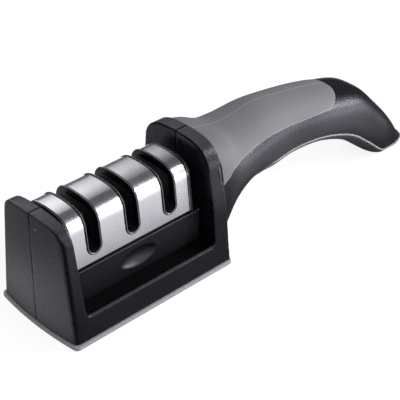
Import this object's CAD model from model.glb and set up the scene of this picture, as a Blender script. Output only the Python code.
from bisect import bisect_right
from math import ceil, copysign, cos, pi, radians, sin, sqrt, tan

import bmesh
import bpy
from mathutils import Matrix, Vector
from mathutils.kdtree import KDTree


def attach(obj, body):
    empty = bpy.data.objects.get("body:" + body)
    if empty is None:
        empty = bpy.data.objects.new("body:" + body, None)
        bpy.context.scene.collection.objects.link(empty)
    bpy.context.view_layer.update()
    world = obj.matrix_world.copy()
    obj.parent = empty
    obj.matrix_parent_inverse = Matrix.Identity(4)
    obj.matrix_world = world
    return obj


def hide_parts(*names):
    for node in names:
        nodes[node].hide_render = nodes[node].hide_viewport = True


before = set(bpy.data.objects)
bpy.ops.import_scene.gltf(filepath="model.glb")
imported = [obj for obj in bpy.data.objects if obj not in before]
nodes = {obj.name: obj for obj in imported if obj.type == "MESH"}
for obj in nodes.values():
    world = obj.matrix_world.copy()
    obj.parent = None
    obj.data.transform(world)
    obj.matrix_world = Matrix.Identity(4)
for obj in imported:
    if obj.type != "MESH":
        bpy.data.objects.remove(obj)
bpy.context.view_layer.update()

# A pull-through knife sharpener with a steel-covered cartridge and an arched handle.
# The left side faces the camera and lies on -Y; the handle points along +X.
# Shapes are worked out in millimetres and scaled to metres when finished; the rest is in metres.

scene = bpy.context.scene

# ---------------- sizes, as in the part's source
BASE_LENGTH, BASE_WIDTH = 82.0015, 48.0
RIM_HEIGHT, RIM_PROUD, RIM_WIDTH = 1.8, 0.75, 4.0
FRONT_BOW, CORNER = 1.8, 2.0
RAIL_HEIGHT, RAIL_WALL, RAIL_FILLET = 11.6, 1.8, 2.4
FLOOR_Z = RAIL_HEIGHT - 1.2
BOTTOM_WALL = 1.6
FRONT_HEIGHT, FRONT_CROWN, FRONT_SHOULDER, FRONT_ROUND = 52.3, 2.3, 17.8, 6.2
FRONT_THICKNESS, FRONT_DRAFT, FRONT_LEAN = 5.6, 2.4, 0.9
REAR_HEIGHT, REAR_CROWN, REAR_SHOULDER, REAR_ROUND, REAR_BOW = 57.3, 2.7, 18.3, 9.0, 0.8
REAR_THICKNESS, REAR_LEAN, REAR_KNEE, BACK_LEAN = 6.8, 2.3, 16.0, 3.1
HANDLE_REACH, GRIP_HALF = 129.0, 14.2
INLAY_DEPTH, PAD_DEPTH, PAD_PROUD = 1.4, 1.2, 0.4
COVER_HEIGHT, COVER_CROWN, COVER_SHOULDER, COVER_ROUND = 50.7, 1.6, 12.0, 5.7
COVER_SKIRT, SKIRT_HEIGHT, COVER_LENGTH, SHEET = 14.2, 28.7, 59.4, 0.6
CARTRIDGE_GAP, CARTRIDGE_LENGTH, CARTRIDGE_HALF, CHEEK = 0.4, 64.0, 14.8, 0.8
LEDGE_Z = SKIRT_HEIGHT - 1.2
FIRST_SLOT, SLOT_PITCH, SLOT_CUT, SLOT_RIM, RIM_LIP, SLOT_BOTTOM = 10.4, 19.0, 7.5, 1.0, 0.4, 31.3
PARTING = 0.03          # half the gap between the two moulded halves
OVERLAP = 0.14          # the softened halves reach this far past the middle, so that the seam stays fine
SLIDE = 0.3             # clearance round the cartridge, which moves
OUTSIDE = 40.0          # well clear of the part's sides


def tangent(degrees):
    return tan(radians(degrees))


TOTAL_LENGTH = FRONT_BOW + BASE_LENGTH - RIM_PROUD + HANDLE_REACH
FRONT_X = FRONT_BOW - TOTAL_LENGTH / 2
BACK_X = FRONT_X + BASE_LENGTH
BODY_HALF = BASE_WIDTH / 2 - RIM_PROUD
REAR_BACK = BACK_X - RIM_PROUD
RAIL_SLOPE = (BODY_HALF - FRONT_SHOULDER) / (FRONT_HEIGHT - FRONT_CROWN - RIM_HEIGHT)
RAIL_HALF = BODY_HALF - RAIL_SLOPE * (RAIL_HEIGHT - RIM_HEIGHT)
TRAY_HALF = RAIL_HALF - RAIL_WALL


def rear_back_x(z):
    return REAR_BACK - tangent(BACK_LEAN) * max(0.0, z - REAR_KNEE)


def rear_front_x(z):
    return REAR_BACK - REAR_THICKNESS - tangent(REAR_LEAN) * (z - RIM_HEIGHT)


def front_back_x(z):
    return FRONT_X + FRONT_THICKNESS + tangent(FRONT_DRAFT) * (FRONT_HEIGHT - z)


CARTRIDGE_FRONT = front_back_x(FLOOR_Z) + CARTRIDGE_GAP
CARTRIDGE_BACK = CARTRIDGE_FRONT + CARTRIDGE_LENGTH
COVER_FRONT = CARTRIDGE_FRONT + CHEEK
COVER_BACK = COVER_FRONT + COVER_LENGTH
END_LINE, END_LINE_WIDTH = COVER_BACK - 1.0, 0.45       # a groove pressed round the cover's rear end
SLOT_X = [COVER_FRONT + FIRST_SLOT + i * SLOT_PITCH for i in range(3)]
SLOT_CLEAR = SLOT_CUT - 2 * SLOT_RIM
PANEL_FOOT = FLOOR_Z + 2.8
SPIGOT_FRONT, SPIGOT_BACK, SPIGOT_HALF = CARTRIDGE_FRONT + 10, CARTRIDGE_BACK - 10, 8.0
# Counterbores of the housing screws: x, z and the seat's distance from the middle
BORE_RADIUS = 3.05
BASE_BORES = [(CARTRIDGE_FRONT + 3.3, 6.0, 12.0), (rear_front_x(0) - 3.8, 6.0, 12.0)]
HANDLE_BORES = [(REAR_BACK + 30, 34.7, 6.0), (REAR_BACK + 92, 27.0, 6.0)]


# ---------------- making solids
def placed(name, data):
    """A new object in the scene."""
    obj = bpy.data.objects.new(name, data)
    scene.collection.objects.link(obj)
    return obj


def part(bm, name="form"):
    """A scratch object, in millimetres, with its faces turned outwards."""
    bmesh.ops.recalc_face_normals(bm, faces=bm.faces)
    mesh = bpy.data.meshes.new(name)
    bm.to_mesh(mesh)
    bm.free()
    return placed(name, mesh)


def settle(obj):
    """Bakes an object's modifiers into its mesh."""
    bpy.context.view_layer.update()
    graph = bpy.context.evaluated_depsgraph_get()
    shaped = bpy.data.meshes.new_from_object(obj.evaluated_get(graph))
    obj.modifiers.clear()
    obj.data = shaped
    return obj


def shape_with(obj, tools, operation):
    """Cuts with, or joins, scratch objects, and removes them."""
    for tool in tools:
        step = obj.modifiers.new(operation, "BOOLEAN")
        step.operation, step.solver, step.object = operation, "EXACT", tool
        settle(obj)
        bpy.data.objects.remove(tool)
    return obj


def cut(obj, *tools):
    return shape_with(obj, tools, "DIFFERENCE")


def fuse(obj, *others):
    return shape_with(obj, others, "UNION")


def gathered(*forms):
    """Several closed forms as one object; the even grid of soften() melts them together."""
    bm = bmesh.new()
    for form in forms:
        bm.from_mesh(form.data)
        bpy.data.objects.remove(form)
    return part(bm)


def soften(obj, grid, passes):
    """Rounds every edge of a solid as a mould does, by an even grid and a few smoothing passes."""
    even = obj.modifiers.new("even", "REMESH")
    even.mode, even.voxel_size, even.adaptivity = "VOXEL", grid, 0.0
    smooth = obj.modifiers.new("smooth", "SMOOTH")
    smooth.factor, smooth.iterations = 0.5, passes
    return settle(obj)


def flipped(obj):
    """Turns a left piece into its right twin."""
    obj.data.transform(Matrix.Diagonal((1, -1, 1, 1)))
    obj.data.flip_normals()
    return obj


def mirrored(obj):
    """The right twin of a left piece, which stays."""
    return flipped(placed("twin", obj.data.copy()))


def finished(obj, name, finish, body, stands_for=(), crease=None):
    """Names a shaped object, takes it to metres, gives its material and puts it on its body."""
    obj.name = obj.data.name = name
    obj.data.transform(Matrix.Scale(0.001, 4))
    obj.data.materials.clear()
    obj.data.materials.append(finish)
    obj.data.shade_smooth()
    if crease:
        obj.data.set_sharp_from_angle(angle=radians(crease))
    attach(obj, body)
    if stands_for:
        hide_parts(*stands_for)
    return obj


def extruded(points, by):
    """A prism: an outline pushed along a vector."""
    bm = bmesh.new()
    face = bm.faces.new([bm.verts.new(p) for p in points])
    grown = bmesh.ops.extrude_face_region(bm, geom=[face])
    moved = [v for v in grown["geom"] if isinstance(v, bmesh.types.BMVert)]
    bmesh.ops.translate(bm, vec=by, verts=moved)
    return bm


def block(low, high):
    x0, y0, z0 = low
    x1, y1, z1 = high
    return part(extruded([(x0, y0, z0), (x1, y0, z0), (x1, y1, z0), (x0, y1, z0)], (0, 0, z1 - z0)))


def drum(x, z, radius, y_from, y_to):
    """A cylinder across the part."""
    ring = [(x + radius * cos(a), y_from, z + radius * sin(a))
            for a in (2 * pi * i / 40 for i in range(40))]
    return part(extruded(ring, (0, y_to - y_from, 0)))


def along_x(x_from, x_to, outline):
    return part(extruded([(x_from, p[0], p[1]) for p in outline], (x_to - x_from, 0, 0)))


def sliced(bm, normal, places):
    """Cuts faces along planes, so that they can be bent."""
    for place in places:
        bmesh.ops.bisect_plane(bm, geom=bm.verts[:] + bm.edges[:] + bm.faces[:],
                               plane_co=normal * place, plane_no=normal)


def lofted(rings, closed_ends=True, band=None):
    """A tube through closed rings of equal count, made from a grid and capped at its ends.
    band, with a number for each point, tells materials where a border lies."""
    rows, columns = len(rings) - 1, len(rings[0])
    bm = bmesh.new()
    bmesh.ops.create_grid(bm, x_segments=columns, y_segments=rows, size=0.5)
    layer = bm.verts.layers.float.new("band") if band else None
    for v in bm.verts:
        column, row = round((v.co.x + 0.5) * columns), round((v.co.y + 0.5) * rows)
        v.co = rings[row][column % columns]
        if band:
            v[layer] = band[row][column % columns]
    bmesh.ops.remove_doubles(bm, verts=bm.verts, dist=0.0005)
    bmesh.ops.dissolve_degenerate(bm, dist=0.0005, edges=bm.edges)
    if closed_ends:
        bmesh.ops.holes_fill(bm, edges=[e for e in bm.edges if e.is_boundary], sides=0)
    return bm


def between(a, b, t):
    return a + (b - a) * t


def ease(x):
    """0 below 0, 1 above 1, smooth between."""
    x = min(1.0, max(0.0, x))
    return x * x * (3 - 2 * x)


def read_off(value, keys, values):
    """Reads a table between its rows."""
    i = max(1, min(bisect_right(keys, value), len(keys) - 1))
    return between(values[i - 1], values[i], (value - keys[i - 1]) / max(1e-9, keys[i] - keys[i - 1]))


def ways_along(line):
    """How far along a line each of its points lies."""
    ways = [0.0]
    for p, q in zip(line, line[1:]):
        ways.append(ways[-1] + (q - p).length)
    return ways


# ---------------- outlines
def arch(top, crown, shoulder, rounding, foot_z, foot, bow=0.0):
    """Half outline (y, z) of an arched wall: its top from the middle, its shoulder and its side."""
    corner, end = Vector((shoulder, top - crown)), Vector((foot, foot_z))
    down = (end - corner).normalized()
    flat = shoulder - rounding
    start = Vector((flat, top - crown * (flat / shoulder) ** 2))
    stop = corner + down * rounding
    out, rest = Vector((-down.y, down.x)), end - stop
    line = [Vector((y, top - crown * (y / shoulder) ** 2)) for y in (flat * i / 10 for i in range(10))]
    line += [start * (1 - t) ** 2 + corner * 2 * t * (1 - t) + stop * t * t
             for t in (i / 14 for i in range(15))]
    return line + [stop + rest * t + out * bow * sin(pi * t) ** 2 for t in (i / 16 for i in range(1, 17))]


def cover_arch(grow=0.0, foot_z=SKIRT_HEIGHT):
    """Half outline of the steel cover, grown, and led down to a height."""
    half = arch(COVER_HEIGHT + grow, COVER_CROWN, COVER_SHOULDER + grow, COVER_ROUND + grow / 2,
                SKIRT_HEIGHT, COVER_SKIRT + grow)
    if foot_z < SKIRT_HEIGHT:
        half.append(Vector((COVER_SKIRT + grow, foot_z)))
    return half


def both_sides(half):
    return [Vector((-p.x, p.y)) for p in reversed(half[1:])] + list(half)


def base_plan(inset, middle=-PARTING):
    """Left half of the base's plan (x, y), drawn in by some distance: bowed front, round corners."""
    half = BASE_WIDTH / 2 - inset
    reach = half - CORNER
    radius = (half * half + FRONT_BOW ** 2) / (2 * FRONT_BOW)

    def front(y):
        return FRONT_X + inset - FRONT_BOW + radius - sqrt(radius * radius - y * y)
    back = BACK_X - inset
    line = [(front(reach * i / 12), -reach * i / 12) for i in range(13)]
    line[0] = (line[0][0], middle)
    for centre, start in (((front(reach) + CORNER, -reach), 180), ((back - CORNER, -reach), 270)):
        for i in range(9):
            a = radians(start + 90 * i / 8)
            line.append((centre[0] + CORNER * cos(a), centre[1] + CORNER * sin(a)))
    line.append((back, middle))
    return [p for i, p in enumerate(line) if i == 0 or (Vector(p) - Vector(line[i - 1])).length > 1e-4]


# ---------------- base and end walls
def end_wall(half, front, back, top_round, side_round):
    """Left half of an end wall between two leaning faces. Its outer edges are rounded, more at the side."""
    blank = 10.0            # thickness while the faces are still upright
    grows_from, grows_over = 15, 7      # where along the outline the rounding grows
    last = len(half) - 1
    radii, outward = [], []
    for i, way in enumerate(ways_along(half)):
        along = (half[min(i + 1, last)] - half[max(i - 1, 0)]).normalized()
        outward.append(Vector((-along.y, along.x)) if 0 < i < last else Vector((0, 1) if i == 0 else (1, 0)))
        radii.append(between(top_round, side_round, ease((way - grows_from) / grows_over)))
    rings = []
    for end, turns in ((0.0, range(7)), (blank, range(6, -1, -1))):
        for turn in turns:
            a = radians(15 * turn)
            ring = []
            for p, n, r in zip(half, outward, radii):
                if end:
                    r = top_round
                q = p - n * r * (1 - sin(a))
                ring.append(Vector((abs(end - r * (1 - cos(a))), -q.x if q.x > 1e-6 else OVERLAP, q.y)))
            ring[-1].z = half[-1].y
            rings.append(ring + [Vector((abs(end - top_round * (1 - cos(a))), OVERLAP, half[-1].y))])
    bm = lofted(rings)
    sliced(bm, Vector((0, 1, 0)), [-2.0 * i for i in range(1, 10)])
    sliced(bm, Vector((0, 0, 1)), [4.0 * i for i in range(1, 15)])
    for v in bm.verts:
        v.co.x += back(v.co.z) - blank if v.co.x > blank / 2 else front(v.co.y, v.co.z)
    return part(bm)


def front_face_x(y, z):
    """The front wall's bowed and leaning outer face."""
    radius = (BODY_HALF ** 2 + FRONT_BOW ** 2) / (2 * FRONT_BOW)
    bow = radius - sqrt(radius * radius - y * y)
    return FRONT_X + RIM_PROUD - FRONT_BOW + bow + tangent(FRONT_LEAN) * (z - RIM_HEIGHT)


def base_body():
    """Left half of the tray between the walls, tapering up from the foot rim."""
    taper = RAIL_HALF / BODY_HALF
    tuck = 2.4              # keeps the tray's end inside the front wall
    bm = extruded([(x, y, RIM_HEIGHT) for x, y in base_plan(RIM_PROUD, OVERLAP)],
                  (0, 0, RAIL_HEIGHT - RIM_HEIGHT))
    for v in bm.verts:
        if v.co.z > RIM_HEIGHT + 0.1 and v.co.y < -1:
            v.co.y *= taper
        if v.co.x < FRONT_X + FRONT_THICKNESS:
            v.co.x += tuck
    body = part(bm)
    under = part(extruded([(x, y, RIM_HEIGHT / 2) for x, y in base_plan(RIM_WIDTH + 0.05, OVERLAP)],
                          (0, 0, RIM_HEIGHT)))
    tray = block((front_back_x(FLOOR_Z) - 0.3, -TRAY_HALF, FLOOR_Z),
                 (rear_front_x(FLOOR_Z) + 0.3, 5, FLOOR_Z + 5))
    pocket = block((SPIGOT_FRONT - SLIDE, -SPIGOT_HALF - SLIDE, RIM_HEIGHT + BOTTOM_WALL),
                   (SPIGOT_BACK + SLIDE, 5, RAIL_HEIGHT + 1))
    return cut(fuse(body, under), tray, pocket)


def rail_corner(x, toward):
    """Concave rounding where the rail runs up into an end wall."""
    r, z, deeper = RAIL_FILLET, RAIL_HEIGHT, 0.02
    outline = [(x - toward, z - 1), (x + toward * r, z - 1)]
    outline += [(x + toward * (r - r * sin(a)), z + r - r * cos(a))
                for a in (radians(90 * i / 8) for i in range(9))]
    outline += [(x - toward, z + r)]
    bm = extruded([(px, -TRAY_HALF - RAIL_WALL + deeper, pz) for px, pz in outline], (0, RAIL_WALL, 0))
    for v in bm.verts:
        if v.co.y < -TRAY_HALF - 0.5:
            v.co.y = -(BODY_HALF - RAIL_SLOPE * (v.co.z - RIM_HEIGHT)) + deeper
    return part(bm)


def side_of_housing(bores=()):
    """Left half of the tray and both end walls."""
    front = end_wall(arch(FRONT_HEIGHT, FRONT_CROWN, FRONT_SHOULDER, FRONT_ROUND, RIM_HEIGHT, BODY_HALF),
                     front_face_x, front_back_x, top_round=0.45, side_round=2.0)
    rear = end_wall(arch(REAR_HEIGHT, REAR_CROWN, REAR_SHOULDER, REAR_ROUND, RAIL_HEIGHT, RAIL_HALF, REAR_BOW)
                    + [Vector((BODY_HALF, RIM_HEIGHT))],
                    lambda y, z: rear_front_x(z), rear_back_x, top_round=0.35, side_round=0.35)
    fillets = [rail_corner(front_back_x(RAIL_HEIGHT + RAIL_FILLET), 1),
               rail_corner(rear_front_x(RAIL_HEIGHT + RAIL_FILLET), -1)]
    body = base_body()
    cut(body, *[drum(x, z, BORE_RADIUS, -OUTSIDE, -seat) for x, z, seat in bores])
    return gathered(body, front, rear, *fillets)


def foot_rim():
    """Left half of the soft strip round the foot, with rounded outer edges."""
    outer, inner = base_plan(0), base_plan(RIM_WIDTH)
    bm = extruded([(x, y, 0) for x, y in outer] + [(x, y, 0) for x, y in reversed(inner)], (0, 0, RIM_HEIGHT))
    edges = [e for e in bm.edges if abs(e.verts[0].co.z - e.verts[1].co.z) < 1e-5]
    bmesh.ops.bevel(bm, geom=edges, offset=0.35, segments=3, profile=0.5, affect="EDGES", material=-1)
    return part(bm)


# ---------------- handle
# Ribs of the handle: crest x and z, belly x and z, half width beyond the grip's, squareness; x from the rear wall
TAIL_RIBS = [
    (5, 53.6, 1.8, 11, 6.1, 3.4), (12, 51.9, 8.3, 17.9, 5.2, 2.3), (21, 52.2, 20.6, 23, 3.1, 2),
    (34, 53.6, 34, 22.8, 1.4, 2), (48, 51.8, 48, 24.6, 0, 2.2), (64, 48.8, 62, 24.2, 0.4, 2.2),
    (79, 45.2, 74.5, 20.9, 0.2, 2.3), (94.6, 39.8, 86, 16, -0.1, 2.7), (104.6, 30.4, 97.5, 8.1, -0.3, 3),
    (114.8, 19.3, 107.5, PAD_PROUD + 0.2, 0.1, 2.8), (122.2, 8.9, 117.6, PAD_PROUD, -1.4, 2.4),
    (127.9, 3.9, 123.7, PAD_PROUD, -5.2, 2.2), (129, 2.1, 127.6, PAD_PROUD, -9.7, 2.2)]
ROOT_CREST, ROOT_BELLY, ROOT_HALF = REAR_HEIGHT - 2.2, RIM_HEIGHT + 4.2, REAR_SHOULDER + 1.8


def rib_on_wall(inward):
    """The handle's root on the leaning back of the rear wall, or further inside it."""
    return (rear_back_x(ROOT_CREST) - inward, ROOT_CREST, rear_back_x(ROOT_BELLY) - inward, ROOT_BELLY,
            ROOT_HALF, 3.8)


RIBS = [rib_on_wall(3), rib_on_wall(0)] + [
    (REAR_BACK + r[0], r[1], REAR_BACK + r[2], r[3], GRIP_HALF + r[4], r[5]) for r in TAIL_RIBS]
LAST_RIB, PAD_RIB, INLAY_ROUND, INLAY_END, PAD_ANGLE = len(RIBS) - 1, 4.6, 7.1, 8.02, 118.0
# The grip skin's border, as rib and angle down from the crest: a point, a waist, a round end
INLAY_ANGLES = [(1, 85), (1.3, 84.3), (1.7, 81.5), (2, 76), (2.4, 70.8), (3, 65), (3.5, 64), (4.6, 65.3),
                (5.5, 69), (6.1, 72), (6.5, 70.5), (INLAY_ROUND, 66)]


def rib_at(s):
    """A smooth curve through the ribs, read at a whole or broken rib number."""
    i = min(int(s), LAST_RIB - 1)
    t = s - i
    if i < 1:
        return tuple(between(p, q, t) for p, q in zip(RIBS[0], RIBS[1]))
    rows = zip(RIBS[i if i == 1 else i - 1], RIBS[i], RIBS[i + 1], RIBS[min(i + 2, LAST_RIB)])
    rib = [0.5 * (2 * b + (c - a) * t + (2 * a - 5 * b + 4 * c - d) * t * t + (3 * b - a - 3 * c + d) * t ** 3)
           for a, b, c, d in rows]
    rib[3] = max(rib[3], PAD_PROUD)
    return tuple(rib)


def root(value, power):
    return copysign(abs(value) ** (2 / power), value)


def skin(rib, angle, depth):
    """Point of the handle's left side at an angle down from the crest, some depth under the skin."""
    upward = Vector((rib[0] - rib[2], rib[1] - rib[3])) / 2
    power = rib[5] + (0.4 if angle > 90 else 0)
    turn = radians(angle)
    c = root(cos(turn), power) * max(upward.length - depth, 0.05) / upward.length
    side = max(rib[4] - depth, 0.05) * abs(sin(turn)) ** (2 / power)
    return Vector(((rib[0] + rib[2]) / 2 + upward.x * c, -side, (rib[1] + rib[3]) / 2 + upward.y * c))


def inlay_edge(s):
    """Angle down from the crest at which the grip skin ends."""
    u = max(0.0, s - INLAY_ROUND) / (INLAY_END - INLAY_ROUND)
    angle = read_off(min(max(s, 1.0), INLAY_ROUND), *zip(*INLAY_ANGLES))
    return max(0.6, angle * sqrt(max(0.0, 1 - u * u)))


class Section:
    """One cross-section of the handle's left side, measured along its skin from crest to belly."""

    def __init__(self, s):
        self.s, self.rib = s, rib_at(s)
        shares = [(i / 48) ** 2.6 for i in range(49)]       # closer together towards crest and belly
        self.angles = [90 * a for a in shares] + [180 - 90 * a for a in reversed(shares[:-1])]
        self.ways = ways_along([skin(self.rib, a, 0) for a in self.angles])
        self.length = self.ways[-1]

    def angle(self, way):
        return read_off(way, self.ways, self.angles)

    def way(self, angle):
        return read_off(angle, self.angles, self.ways)

    def at(self, way, depth=0.0):
        p = skin(self.rib, self.angle(way), depth)
        p.y = min(p.y, -PARTING)
        return p


def sections(s_from, s_to, step):
    """Cross-sections an even step apart along the handle's crest."""
    fine = [between(s_from, s_to, i / 400) for i in range(401)]
    ways = ways_along([Vector(rib_at(s)[0:2]) for s in fine])
    count = max(2, round(ways[-1] / step))
    places, k = [], 0
    for i in range(count + 1):
        way = ways[-1] * i / count
        while k < 399 and ways[k + 1] < way:
            k += 1
        places.append(between(fine[k], fine[k + 1], (way - ways[k]) / max(1e-9, ways[k + 1] - ways[k])))
    return [Section(min(max(s, s_from), s_to)) for s in places]


def border_tree(points):
    """A search tree of a border, from which distances to the border are read."""
    points = dense(points)
    tree = KDTree(len(points))
    for i, p in enumerate(points):
        tree.insert(p, i)
    tree.balance()
    return tree


def dense(points):
    """The same line with points at most 0.12 mm apart."""
    out = []
    for p, q in zip(points, points[1:]):
        count = max(1, ceil((q - p).length / 0.12))
        out += [between(p, q, i / count) for i in range(count)]
    return out + [points[-1]]


INLAY_STATIONS = sections(1.0, INLAY_ROUND, 0.8)[:-1] + [
    Section(INLAY_ROUND + (INLAY_END - INLAY_ROUND) * sin(radians(90 * i / 22))) for i in range(23)]
inlay_border = border_tree([s.at(s.way(inlay_edge(s.s))) for s in INLAY_STATIONS])


def pad_edge(s):
    """Angle down from the crest at which the pad begins; it climbs a little at the tail's end."""
    return PAD_ANGLE - 60 * ease((s - LAST_RIB + 3.1) / 2.2)


pad_start = Section(PAD_RIB)
pad_border = border_tree(
    [pad_start.at(between(pad_start.length, pad_start.way(PAD_ANGLE), i / 20)) for i in range(21)]
    + [s.at(s.way(pad_edge(s.s))) for s in sections(PAD_RIB, LAST_RIB, 0.8)])


def rounded(distance, radius):
    """How far a quarter-round edge lies below the face, at a distance from the edge."""
    if distance >= radius:
        return 0.0
    return radius - sqrt(max(0.0, radius * radius - (radius - max(0.0, distance)) ** 2))


def places_along(length, count, edge=0.5, close=5):
    """count + 1 places along a line, of which the first and last few lie in its rounded edges."""
    edge = min(edge, length / 4)
    inner = count - 2 * close
    return ([edge * (i / close) ** 1.5 for i in range(close)]
            + [between(edge, length - edge, i / inner) for i in range(inner)]
            + [length - edge * ((close - i) / close) ** 1.5 for i in range(close + 1)])


def handle_shell():
    """Left half of the handle's moulded shell, sunk where the grip skin and the pad lie."""
    rings = []
    for sec in sections(0.5, LAST_RIB, 0.75):
        ring = []
        for way in places_along(sec.length, 84):
            point, angle = sec.at(way), sec.angle(way)
            depth = rounded(way, 0.2) + rounded(sec.length - way, 0.2)
            if 0.95 < sec.s < INLAY_END and angle < inlay_edge(sec.s):
                depth += (INLAY_DEPTH - 0.2) * ease((inlay_border.find(point)[2] - 0.9) / 2.5)
            if sec.s > PAD_RIB and angle > pad_edge(sec.s):
                depth += (PAD_DEPTH - 0.3) * ease((pad_border.find(point)[2] - 0.2) / 1.2)
            ring.append(sec.at(way, depth))
        crest, belly = ring[0], ring[-1]
        ring += [between(belly, crest, i / 6) for i in range(1, 6)]
        rings.append(ring)
    return part(lofted(rings))


def grip_skin():
    """Left half of the soft skin on the handle: a pillow with a rounded lip along its border.
    Its band is 1 on the pale lip and -1 in the dark line at the very border."""
    rings, bands = [], []
    for sec in INLAY_STATIONS:
        wide = sec.way(inlay_edge(sec.s))
        top, low, band = [], [], []
        for way in places_along(wide, 60, edge=0.8, close=8):
            point = sec.at(way)
            from_border = inlay_border.find(point)[2] if way < wide else 0.0
            band.append(1 - ease((from_border - 0.3) / 0.3) - 2 * (1 - ease((from_border - 0.08) / 0.08)))
            depth = 0.45 * rounded(from_border, 0.4) / 0.4 - 0.12 - 0.08 * ease(from_border / 3)
            top.append(sec.at(way, depth))
            low.append(sec.at(way, INLAY_DEPTH - 0.1))
        rings.append(top + low[::-1])
        bands.append(band + [0.0] * len(low))
    return part(lofted(rings, band=bands))


def tail_pad():
    """Left half of the pad under the handle: a pale bead along its border and a dark sole."""
    width, pale_from = 0.9, LAST_RIB - 2.0      # the bead's width; behind this rib all is pale
    rings, bands = [], []
    for sec in sections(PAD_RIB, LAST_RIB, 0.75):
        start = sec.way(pad_edge(sec.s))
        top, low, band = [], [], []
        for way in places_along(sec.length - start, 46, edge=1.3, close=12):
            point = sec.at(start + way)
            d = pad_border.find(point)[2]
            risen = ease((sec.s - PAD_RIB) / 0.8)
            bead = PAD_PROUD * sqrt(max(0.0, 1 - ((d - width / 2) / (width / 2)) ** 2)) if d < width else 0.0
            sole = (PAD_PROUD - 0.04) * ease((d - 0.85) / 0.4)
            depth = 0.35 * rounded(sec.length - start - way, 0.25) - max(bead, sole) * risen + 0.1 * (1 - risen)
            depth += 0.4 if d < 0.02 else 0
            top.append(sec.at(start + way, depth))
            low.append(sec.at(start + way, PAD_DEPTH - 0.2))
            band.append(1.0 if d < width or sec.s > pale_from else 0.0)
        rings.append(top + low[::-1])
        bands.append(band + [0.0] * len(low))
    return part(lofted(rings, band=bands))


# ---------------- cartridge
def steel_cover():
    """The folded steel sheet: a fine arch with softened ends, cut by the three slots."""
    rings = []
    # Where along the cover, and how far each face of the sheet is drawn in there
    for x, thin in ((COVER_FRONT, 0.12), (COVER_FRONT + 0.05, 0.04), (COVER_FRONT + 0.14, 0),
                    (COVER_FRONT + 0.25, 0), (END_LINE - 0.12, 0), (END_LINE, 0.2),
                    (END_LINE + END_LINE_WIDTH, 0.2), (END_LINE + 0.52, 0), (COVER_BACK - 0.14, 0),
                    (COVER_BACK - 0.05, 0.04), (COVER_BACK, 0.12)):
        outer, inner = both_sides(cover_arch(-thin)), both_sides(cover_arch(thin - SHEET))
        rings.append([Vector((x, p.x, p.y)) for p in outer + inner[::-1]])
    cover = part(lofted(rings))
    return cut(cover, *[slot_cutter(x, SLOT_CUT, SLOT_BOTTOM) for x in SLOT_X])


def slot_cutter(x, width, bottom):
    """A slot seen from the side, with a round bottom, pushed through the whole width."""
    r = width / 2
    top = 70.0              # above the part
    outline = [(x + r * cos(a), -OUTSIDE, bottom + r + r * sin(a))
               for a in (radians(180 + 180 * i / 28) for i in range(29))]
    outline += [(x + r, -OUTSIDE, top), (x - r, -OUTSIDE, top)]
    return part(extruded(outline, (0, 2 * OUTSIDE, 0)))


def rim_path(x, reach):
    """Points, outward normals and sideways directions round a slot on the cover, reach from its middle line."""
    side = both_sides(cover_arch())
    bottom = SLOT_BOTTOM + SLOT_CUT / 2

    def on_cover(z):
        line = cover_arch()
        for p, q in zip(line, line[1:]):
            if q.y <= z <= p.y and p.y - q.y > 1e-9:
                return between(p.x, q.x, (p.y - z) / (p.y - q.y))
        return COVER_SKIRT
    down = Vector((COVER_SKIRT, SKIRT_HEIGHT)) - Vector((on_cover(40), 40))
    slant = Vector((-down.normalized().y, down.normalized().x))
    path = []
    for hand in (-1, 1):
        arc = []
        for i in range(33):
            a = radians(180 * i / 32)
            dx, dz = hand * cos(a), -sin(a)
            z = bottom + reach * dz
            arc.append((Vector((x + reach * dx, hand * on_cover(z), z)), Vector((0, hand * slant.x, slant.y)),
                        Vector((dx, 0, dz))))
        run = [p for p in side if p.y > bottom + 0.2]
        if hand > 0:
            run = run[::-1]
        over = []
        for i, p in enumerate(run):
            before, after = run[max(0, i - 1)], run[min(len(run) - 1, i + 1)]
            along = (after - before).normalized()
            normal = Vector((-along.y, along.x))
            if normal.y < 0 and abs(normal.y) > abs(normal.x) or normal.x * p.x < 0 and abs(p.x) > 6:
                normal = -normal
            over.append((Vector((x - hand * reach, p.x, p.y)), Vector((0, normal.x, normal.y)),
                         Vector((-hand, 0, 0))))
        path += arc + over
    return path


def slot_rim(x):
    """The moulded lip that lines a slot and stands proud of the steel."""
    wide, lip, deep, r = SLOT_RIM / 2 - 0.05, RIM_LIP, 3.2, 0.3
    # Sideways from the middle of its wall, outwards from the steel, and whether rubbed pale
    section = [(wide, -deep, 0), (wide, lip - r, 0), (wide - 0.3 * r, lip - 0.3 * r, 0), (wide - r, lip, 0),
               (0, lip + 0.03, 0), (-wide + 1.4 * r, lip, 1), (-wide + 0.3 * r, lip - 0.3 * r, 1),
               (-wide, lip - r, 0), (-wide, -deep, 0)]
    rings = [[point + out * a + normal * b for a, b, polished in section]
             for point, normal, out in rim_path(x, SLOT_CUT / 2 - SLOT_RIM / 2)]
    rings.append(rings[0])
    return part(lofted(rings, closed_ends=False, band=[[polished for a, b, polished in section]] * len(rings)))


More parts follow.
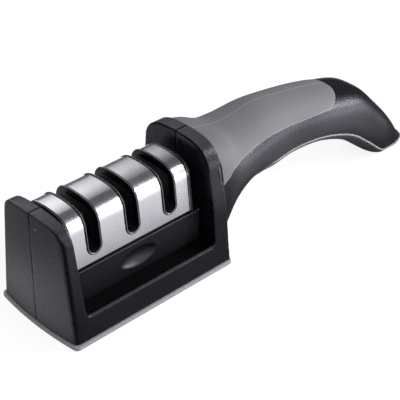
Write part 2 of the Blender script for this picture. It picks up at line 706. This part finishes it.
def finger_hollow(hand):
    """Hollow for a fingertip: a spindle lying along X, sunk into the side."""
    length, depth, outside = SLOT_PITCH, 2.2, 2.9
    arc = (length * length / 4 + depth * depth) / (2 * depth)
    reach = sqrt(arc * arc - (arc - outside - depth) ** 2)
    centre = Vector((SLOT_X[1] + 1.3, hand * (CARTRIDGE_HALF + outside - 0.15), (LEDGE_Z + PANEL_FOOT) / 2))
    bm = bmesh.new()
    line = []
    for i in range(41):
        x = -reach * cos(pi * i / 40)
        r = outside + depth - arc + sqrt(arc * arc - x * x)
        line.append(bm.verts.new(centre + Vector((x, 0, max(0.0, r) if 0 < i < 40 else 0.0))))
    edges = [bm.edges.new(pair) for pair in zip(line, line[1:])]
    bmesh.ops.spin(bm, geom=line + edges, cent=centre, axis=(1, 0, 0), angle=2 * pi, steps=64, use_merge=True)
    bmesh.ops.remove_doubles(bm, verts=bm.verts, dist=0.0005)
    return part(bm)


def cartridge_pockets():
    """Cutters for what the cartridge's stages and its bottom plate fill."""
    half, half_length, top = COVER_SHOULDER - 2.4, 8.7, COVER_HEIGHT - COVER_CROWN - 2.6
    below, plate_top, end = FLOOR_Z - 1, FLOOR_Z + 2, 1.4
    cutters = [slot_cutter(x, SLOT_CLEAR + 0.1, SLOT_BOTTOM + SLOT_RIM) for x in SLOT_X]
    cutters += [block((x - half_length, -half, below), (x + half_length, half, top)) for x in SLOT_X]
    return cutters + [block((CARTRIDGE_FRONT + end, -half, below), (CARTRIDGE_BACK - end, half, plate_top))]


def cartridge_core():
    """What carries the steel: the arched core and its two end plates."""
    inside = SHEET + 0.05
    core = along_x(COVER_FRONT, COVER_BACK, both_sides(cover_arch(-inside, LEDGE_Z - 3)))
    ends = [along_x(x, x + CHEEK, both_sides(cover_arch(-0.05, LEDGE_Z - 3))) for x in (CARTRIDGE_FRONT, COVER_BACK)]
    return cut(fuse(core, *ends), *cartridge_pockets())


def cartridge_flanks():
    """The lower body with its ledge, its slanted foot and the hollows for the fingertips."""
    foot = CARTRIDGE_HALF - 2
    flanks = along_x(CARTRIDGE_FRONT, CARTRIDGE_BACK, [
        (-foot, FLOOR_Z + 0.05), (foot, FLOOR_Z + 0.05), (CARTRIDGE_HALF - 0.3, PANEL_FOOT),
        (CARTRIDGE_HALF, LEDGE_Z), (-CARTRIDGE_HALF, LEDGE_Z), (-CARTRIDGE_HALF + 0.3, PANEL_FOOT)])
    return cut(flanks, finger_hollow(-1), finger_hollow(1), *cartridge_pockets())


# ---------------- materials
class Value:
    """A socket of a material's nodes; arithmetic on it adds Math nodes."""

    def __init__(self, finish, socket):
        self.finish, self.socket = finish, socket

    def _math(self, operation, *terms, clamp=False):
        return self.finish.node("ShaderNodeMath", {"operation": operation, "use_clamp": clamp},
                                dict(enumerate(terms)))

    def __add__(self, other): return self._math("ADD", self, other)
    def __sub__(self, other): return self._math("SUBTRACT", self, other)
    def __mul__(self, other): return self._math("MULTIPLY", self, other)
    def __rsub__(self, other): return self._math("SUBTRACT", other, self)
    __radd__, __rmul__ = __add__, __mul__

    def clamped(self): return self._math("ADD", self, 0.0, clamp=True)

    def step(self, low, high):
        """0 below low, 1 above high, smooth between."""
        return self.finish.node("ShaderNodeMapRange", {"interpolation_type": "SMOOTHSTEP"},
                                {"Value": self, "From Min": low, "From Max": high})


class Finish:
    """The nodes of a material, or of the world, being made."""

    def __init__(self, name, owners=bpy.data.materials):
        self.owner = owners.new(name)
        self.owner.use_nodes = True
        self.tree = self.owner.node_tree
        self.tree.nodes.clear()
        self.place = self.node("ShaderNodeTexCoord", {}, {}, "Object")

    def node(self, kind, settings, sockets, output=None):
        """Adds a node: its settings first, then the values or links of its sockets."""
        node = self.tree.nodes.new(kind)
        for key, value in settings.items():
            setattr(node, key, value)
        for key, value in sockets.items():
            socket = node.inputs[key] if isinstance(key, int) else next(
                s for s in node.inputs if s.name == key and s.enabled)
            if isinstance(value, Value):
                self.tree.links.new(value.socket, socket)
            else:
                socket.default_value = value
        found = [s for s in node.outputs if s.enabled and output in (None, s.name)]
        return Value(self, found[0]) if found else node

    def noise(self, scale, detail=2.0, rough=0.5, stretch=None):
        at = self.place
        if stretch:
            at = self.node("ShaderNodeMapping", {}, {"Vector": at, "Scale": stretch})
        return self.node("ShaderNodeTexNoise", {}, {"Vector": at, "Scale": scale, "Detail": detail,
                                                    "Roughness": rough})

    def mix(self, factor, a, b):
        return self.node("ShaderNodeMix", {"data_type": "RGBA"}, {"Factor": factor, "A": a, "B": b})

    def bump(self, height, distance, strength=1.0):
        return self.node("ShaderNodeBump", {}, {"Height": height, "Distance": distance, "Strength": strength})

    def axis(self, name):
        return self.node("ShaderNodeSeparateXYZ", {}, {"Vector": self.place}, name)

    def off_middle(self):
        """How far the surface lies from the part's middle plane."""
        return self.node("ShaderNodeMath", {"operation": "ABSOLUTE"}, {0: self.axis("Y")})

    def band(self):
        """The number that lofted() gave the piece's points."""
        return self.node("ShaderNodeAttribute", {"attribute_name": "band"}, {}, "Fac")

    def shader(self, **sockets):
        return self.node("ShaderNodeBsdfPrincipled", {}, {k.replace("_", " "): v for k, v in sockets.items()})

    def blend(self, factor, a, b):
        return self.node("ShaderNodeMixShader", {}, {0: factor, 1: a, 2: b})

    def pointed(self):
        """How far the surface bends: over 0.5 on an outer edge, under it in a groove."""
        return self.node("ShaderNodeNewGeometry", {}, {}, "Pointiness")

    def surfaced(self, shader, kind="Material"):
        self.node("ShaderNodeOutput" + kind, {}, {"Surface": shader})
        return self.owner

    def made(self, **sockets):
        return self.surfaced(self.shader(**sockets))


def grey(level, tint=(0, 0, 0)):
    """A colour from its 0 to 255 screen level, with a small tint in the same levels."""
    def linear(c):
        c = max(0.0, c / 255)
        return c / 12.92 if c <= 0.04045 else ((c + 0.055) / 1.055) ** 2.4
    return tuple(linear(level + t) for t in tint) + (1.0,)


def moulded_plastic(name, level, gloss, grain_depth=0.0001, worn=96, recess=None, seam=False,
                    veil=0.0, sheen=0.46, dark_edge=None):
    """Black moulded plastic: a spark-eroded grain, edges rubbed paler, dark grooves.
    recess(f) tells where it is matt and near black; a seam is a dark line on the middle plane.
    A veil of dust lies on faces that look up. dark_edge(f) tells where edges aren't rubbed."""
    f = Finish(name)
    grain = f.noise(1 / 0.0009, 2.0, 0.55)
    patch = f.noise(45.0, 3.0, 0.5)
    bend = f.pointed()
    colour = f.mix(grain.step(0.35, 0.7) * 0.35 + patch * 0.3,
                   grey(level - 5, (0, 0, 5)), grey(level + 7, (0, 0, 8)))
    if veil:
        upward = f.node("ShaderNodeNewGeometry", {}, {}, "Normal")
        level_face = f.node("ShaderNodeSeparateXYZ", {}, {"Vector": upward}, "Z").step(0.7, 0.98)
        colour = f.mix(level_face * (veil * 0.6 + grain * (veil * 0.8)), colour, grey(92, (0, 0, 5)))
    rubbed = bend.step(0.535, 0.56)
    if dark_edge:
        rubbed = rubbed * (1 - dark_edge(f))
    colour = f.mix(rubbed * (0.45 + grain * 0.4), colour, grey(worn, (0, 0, 6)))
    colour = f.mix(bend.step(0.475, 0.44), colour, grey(5))
    roughness = (gloss + patch * 0.1 - grain.step(0.5, 0.75) * 0.12).clamped()
    surface = f.shader(Base_Color=colour, Roughness=roughness, Normal=f.bump(grain, grain_depth),
                       Specular_IOR_Level=sheen, Specular_Tint=(0.84, 0.85, 1.0, 1.0))
    hidden = []
    if recess:
        hidden.append(recess(f))
    if seam:
        hidden.append(f.off_middle().step(0.0002, 0.0001))
    if hidden:
        matt = f.shader(Base_Color=grey(7), Roughness=0.7, Normal=f.bump(grain, grain_depth),
                        Specular_IOR_Level=0.12)
        surface = f.blend(sum(hidden).clamped(), surface, matt)
    return f.surfaced(surface)


def sheltered(f):
    """Where the tray's floor and the inside of its rails lie, the gap over the foot rim, and near the
    walls' tops the line along the rear wall's inner face and the parting line."""
    across, lengthways, up = f.off_middle(), f.axis("X"), f.axis("Z")
    gap = up.step((RIM_HEIGHT + 0.3) / 1000, (RIM_HEIGHT + 0.15) / 1000)
    from_inner_face = lengthways + up * tangent(REAR_LEAN) - rear_front_x(0) / 1000
    line = from_inner_face.step(0.0, 0.0001) * from_inner_face.step(0.0007, 0.0006)
    lines = (line + across.step(0.00044, 0.00034)) * up.step(0.044, 0.049)
    side, rail_top = TRAY_HALF / 1000, RAIL_HEIGHT / 1000
    tray_front, tray_back = front_back_x(FLOOR_Z) / 1000, rear_front_x(FLOOR_Z) / 1000
    tray = (across.step(side + 0.0003, side - 0.0001) * up.step(rail_top, rail_top - 0.0006)
            * lengthways.step(tray_front - 0.0008, tray_front) * lengthways.step(tray_back + 0.0008, tray_back))
    return gap + lines + tray


def upright_edges(f):
    """Where the front wall's upright edges lie."""
    return f.axis("X").step(-0.1003, -0.101) * f.off_middle().step(0.017, 0.0185)


def soft_rubber(name, level, rough=0.62, edged=False):
    """Matt grey rubber with paler edges; a fine pale line marks the seam on the middle plane."""
    f = Finish(name)
    grain = f.noise(5200.0, 2.0, 0.6)
    patch = f.noise(70.0, 4.0, 0.6)
    dust = f.noise(900.0, 3.0, 0.7).step(0.55, 0.8)
    colour = f.mix(patch * 0.6 + grain * 0.2, grey(level - 6, (0, -1, 3)), grey(level + 7, (0, -1, 3)))
    seam = f.off_middle().step(0.00016, 0.00008)
    colour = f.mix(seam * 0.8, f.mix(dust * 0.12, colour, grey(level + 34)), grey(level + 60))
    if edged:
        band = f.band()
        dark_line, pale_lip = band.step(-0.2, -0.8) * 0.5, band.step(0.0, 0.9) * 0.6
        colour = f.mix(pale_lip, f.mix(dark_line, colour, grey(12)), grey(level + 56))
    return f.made(Base_Color=colour, Roughness=rough + patch * 0.1, Normal=f.bump(grain, 0.000012),
                  Specular_IOR_Level=0.35)


def rim_plastic():
    """Glossy black lining of a slot, rubbed pale along its inner edge by the blades."""
    f = Finish("polished slot rim")
    rubbed = f.band()
    marks = f.noise(700.0, 3.0, 0.6)
    colour = f.mix(rubbed * (0.5 + marks * 0.5), f.mix(marks, grey(9), grey(17, (0, 0, 4))), grey(128, (0, 0, 4)))
    return f.made(Base_Color=colour, Roughness=0.16 + marks * 0.12, Normal=f.bump(marks, 0.000003))


def brushed_steel():
    """Steel with fine strokes that run over the arch, so that it smears reflections lengthways."""
    f = Finish("brushed cover steel")
    lines = f.noise(1.0, 2.0, 0.6, stretch=(9000.0, 260.0, 260.0))
    broad = f.noise(1.0, 2.0, 0.5, stretch=(1500.0, 90.0, 90.0))
    smear = f.noise(110.0, 4.0, 0.6).step(0.3, 0.7)
    colour = f.mix(lines * 0.4 + broad * 0.4, grey(228, (0, -2, 2)), grey(247, (0, -2, 3)))
    roughness = 0.2 + lines * 0.05 + smear * 0.06
    steel = f.shader(Base_Color=colour, Metallic=1.0, Roughness=roughness, Normal=f.bump(lines, 0.000008, 0.8))
    groove = f.shader(Base_Color=grey(8), Roughness=0.6, Specular_IOR_Level=0.2)
    place, begin, end = f.axis("X"), END_LINE / 1000, (END_LINE + END_LINE_WIDTH) / 1000
    line = place.step(begin - 0.0001, begin) * place.step(end + 0.0001, end)
    return f.surfaced(f.blend(line, steel, groove))


def plated_steel():
    f = Finish("plated screw steel")
    marks = f.noise(2600.0, 3.0, 0.6)
    colour = f.mix(marks, grey(156, (0, 0, 3)), grey(178, (0, 0, 3)))
    return f.made(Base_Color=colour, Metallic=1.0, Roughness=0.25 + marks * 0.15, Normal=f.bump(marks, 0.000004))


def gritty_rod():
    f = Finish("diamond-coated rod")
    grit = f.node("ShaderNodeTexVoronoi", {}, {"Vector": f.place, "Scale": 6500.0}, "Distance")
    sparkle = f.noise(9000.0, 1.0).step(0.6, 0.7)
    colour = f.mix(grit.step(0.1, 0.6), grey(150), grey(96))
    return f.made(Base_Color=f.mix(sparkle * 0.5, colour, grey(214)), Metallic=0.5,
                  Roughness=0.5 - sparkle * 0.25, Normal=f.bump(grit, 0.00005))


def ground_ceramic():
    f = Finish("white ceramic rod")
    pores = f.noise(4200.0, 3.0, 0.6)
    colour = f.mix(pores.step(0.3, 0.8), grey(222, (2, 0, -8)), grey(240, (2, 0, -5)))
    return f.made(Base_Color=colour, Roughness=0.5 + pores * 0.2, Normal=f.bump(pores, 0.00001))


def ground_hard_metal():
    f = Finish("ground hard metal")
    strokes = f.noise(1.0, 2.0, 0.5, stretch=(500.0, 500.0, 7000.0))
    colour = f.mix(strokes, grey(120, (0, 0, 4)), grey(158, (0, 0, 6)))
    return f.made(Base_Color=colour, Metallic=1.0, Roughness=0.28 + strokes * 0.15,
                  Normal=f.bump(strokes, 0.000004))


def pad_rubber():
    """Rubber of the pad under the handle: the bead pale, the sole dark."""
    f = Finish("tail pad rubber")
    band = f.band()
    grain = f.noise(3600.0, 2.0, 0.6)
    patch = f.noise(80.0, 3.0, 0.55)
    pale = f.mix(patch, grey(150, (0, 0, 2)), grey(164, (0, 0, 2)))
    dark = f.mix(patch, grey(46, (0, 0, 3)), grey(58, (0, 0, 4)))
    return f.made(Base_Color=f.mix(band.step(0.4, 0.6), dark, pale), Roughness=0.58 + patch * 0.12,
                  Normal=f.bump(grain, 0.00002))


housing_black = moulded_plastic("housing black plastic", 22, 0.26, worn=165, recess=sheltered, seam=True,
                                veil=0.55, sheen=0.4, dark_edge=upright_edges)
handle_black = moulded_plastic("handle black plastic", 20, 0.26, seam=True)
cartridge_black = moulded_plastic("cartridge black plastic", 17, 0.36, grain_depth=0.00004, worn=120)
rim_black = rim_plastic()
inner_black = moulded_plastic("inner black plastic", 20, 0.45, grain_depth=0.00001, worn=30)
grip_grey = soft_rubber("soft grip skin", 130, edged=True)
rim_grey = soft_rubber("foot rim rubber", 167, 0.55)
sole_rubber = pad_rubber()
cover_steel = brushed_steel()
screw_steel = plated_steel()
diamond, ceramic, hard_metal = gritty_rod(), ground_ceramic(), ground_hard_metal()

# ---------------- pieces of the base
for hand, form in (("left", side_of_housing()), ("right", flipped(side_of_housing(BASE_BORES)))):
    finished(soften(form, grid=0.39, passes=5), "side_" + hand, housing_black, "base", ["housing_" + hand])

left = handle_shell()
right = cut(mirrored(left), *[drum(x, z, BORE_RADIUS, seat, OUTSIDE) for x, z, seat in HANDLE_BORES])
for hand, form in (("left", left), ("right", right)):
    finished(form, "handle_" + hand, handle_black, "base", ["housing_" + hand], crease=50)

for name, form, finish, slot, crease in (("grip", grip_skin(), grip_grey, "grey_grip", 50),
                                         ("tail_pad", tail_pad(), sole_rubber, "grey_rubber", 50),
                                         ("foot_rim", foot_rim(), rim_grey, "grey_rubber", 35)):
    node = {"grip": "grip_inlay"}.get(name, name)
    twin = mirrored(form)
    finished(form, name + "_piece_left", finish, "base", [node + "_left"], crease)
    finished(twin, name + "_piece_right", finish, "base", [node + "_right"], crease)

# ---------------- pieces of the cartridge
finished(steel_cover(), "steel_cover", cover_steel, "cartridge", ["cartridge_cover"], crease=30)
for name, form in (("core", soften(cartridge_core(), grid=0.44, passes=1)),
                   ("flanks", soften(cartridge_flanks(), grid=0.34, passes=3))):
    finished(form, "cartridge_" + name, cartridge_black, "cartridge", ["cartridge_body"])
for where, x in zip(("front", "middle", "rear"), SLOT_X):
    finished(slot_rim(x), "slot_rim_" + where, rim_black, "cartridge", (), crease=60)

# ---------------- solids that stay as they are
for finish, kept in ((screw_steel, ("housing_screws", "cartridge_screws", "carbide_screws")),
                     (cartridge_black, ("cartridge_floor",)),
                     (inner_black, ("diamond_holder", "carbide_holder", "ceramic_holder")),
                     (diamond, ("diamond_rod_front", "diamond_rod_rear")),
                     (hard_metal, ("carbide_blade_front", "carbide_blade_rear")),
                     (ceramic, ("ceramic_rod_front", "ceramic_rod_rear"))):
    for node in kept:
        nodes[node].data.materials.clear()
        nodes[node].data.materials.append(finish)

# ---------------- floor, light and camera
def studio_floor():
    """White to the camera with a faint shadow. Reflections see it pale too, with the studio's dark parts:
    before the near corner, beside the base, behind the tail and far off; and brighter to both sides
    of the handle."""
    f = Finish("floor white")
    camera_ray, glossy_ray, sent_ray = [f.node("ShaderNodeLightPath", {}, {}, ray) for ray in (
        "Is Camera Ray", "Is Glossy Ray", "Is Transmission Ray")]
    lit, shadowed = [f.node("ShaderNodeBsdfDiffuse", {}, {"Color": (level, level, level, 1)})
                     for level in (0.86, 0.3)]
    white, cool = (1, 1, 1, 1), (0.97, 0.96, 1, 1)
    glow, pale, bright, dark = [f.node("ShaderNodeEmission", {}, {"Color": colour, "Strength": strength})
                                for colour, strength in ((white, 0.85), (cool, 1.0), (cool, 4.6), (white, 0.02))]
    seen = f.node("ShaderNodeAddShader", {}, {0: glow, 1: shadowed})
    x, y, across = f.axis("X"), f.axis("Y"), f.off_middle()
    from_corner_x, from_corner_y = x + 0.104, y + 0.0225
    before_corner = (from_corner_y - from_corner_x * 0.25).step(0.006, -0.004) * from_corner_x.step(0.03, -0.006)
    behind_tail = (x * 0.45 - across).step(-0.0015, 0.0335)
    beside_base = across.step(0.13, 0.06) * 0.3 + across.step(0.09, 0.045) * 0.5
    below_handle = across.step(0.045, 0.02) * x.step(0.0, 0.03) * 0.5
    beside = beside_base * x.step(-0.115, -0.1) * x.step(0.05, 0.0) + below_handle
    far_right, far_left = (x + y).step(0.18, 0.34), (y - x).step(0.14, 0.185) * 0.58
    reach = ((1 - before_corner) * (1 - behind_tail * 0.8) * (1 - far_right) * (1 - far_left) * (1 - beside))
    lit_part = x.step(0.02, 0.2) * across.step(0.0, 0.14)
    reflected = f.blend(reach, dark, f.blend(lit_part.clamped(), pale, bright))
    surface = f.blend((camera_ray + sent_ray).clamped(), f.blend(glossy_ray, lit, reflected), seen)
    return f.surfaced(surface)


bm = bmesh.new()
bmesh.ops.create_grid(bm, x_segments=8, y_segments=8, size=3.0)
floor = part(bm, "floor")
floor.data.materials.append(studio_floor())


def direction(azimuth, elevation):
    """The unit vector from the part towards an azimuth and an elevation, in degrees."""
    a, e = radians(azimuth), radians(elevation)
    return Vector((cos(e) * cos(a), cos(e) * sin(a), sin(e)))


def studio_world():
    """A dark studio with a soft pale patch behind the part; white where the camera looks past the floor."""
    f = Finish("studio", bpy.data.worlds)
    scene.world = f.owner
    to_camera = f.node("ShaderNodeLightPath", {}, {}, "Is Camera Ray")
    way = f.node("ShaderNodeTexCoord", {}, {}, "Generated")
    nearness = f.node("ShaderNodeVectorMath", {"operation": "DOT_PRODUCT"}, {0: way, 1: direction(72, 38)}, "Value")
    dark, pale, white = [f.node("ShaderNodeBackground", {}, {"Color": colour}) for colour in (
        (0.1, 0.1, 0.11, 1), (1.48, 1.48, 1.52, 1), (1, 1, 1, 1))]
    outer, inner = cos(radians(23)), cos(radians(10))
    around = f.blend(nearness.step(outer, inner), dark, pale)
    f.surfaced(f.blend(to_camera, around, white), "World")


def softbox(name, azimuth, elevation, width, height, brightness):
    """A lamp a metre from the part, which it faces, with its brightness as seen: 1 is as bright as the
    white floor."""
    toward = direction(azimuth, elevation)
    data = bpy.data.lights.new(name, "AREA")
    data.shape, data.size, data.size_y = "RECTANGLE", width, height
    data.energy = brightness * pi * width * height
    lamp = placed(name, data)
    lamp.location = toward + Vector((0, 0, 0.03))
    lamp.rotation_mode = "QUATERNION"
    lamp.rotation_quaternion = toward.to_track_quat("Z", "Y")
    lamp.visible_camera = False


studio_world()
softbox("right softbox", -34.5, 23, 0.3, 0.72, 12.5)
softbox("right screen", -71, 22, 0.74, 0.86, 0.95)
softbox("near softbox", -97, 32, 0.8, 0.7, 1.4)
softbox("rear left softbox", 115, 22, 1.6, 0.22, 1.8)
softbox("front left softbox", 135, 36, 0.4, 0.3, 2.6)

# The photograph's camera, fitted to the edges and seams seen in it
CAMERA_PLACE, CAMERA_TURN, CAMERA_TILT = (-0.317667, -0.319464, 0.318273), 43.12817, 34.48244
camera_data = bpy.data.cameras.new("photo view")
camera_data.sensor_width, camera_data.lens = 36.0, 114.102
camera = placed("photo view", camera_data)
turn, tilt = radians(CAMERA_TURN), radians(CAMERA_TILT)
right_way = Vector((cos(turn), -sin(turn), 0))
up_way = Vector((sin(turn) * sin(tilt), cos(turn) * sin(tilt), cos(tilt)))
back_way = right_way.cross(up_way)
camera.matrix_world = (Matrix.Translation(CAMERA_PLACE)
                       @ Matrix((right_way, up_way, back_way)).transposed().to_4x4())
scene.camera = camera
scene.view_settings.view_transform = "Standard"
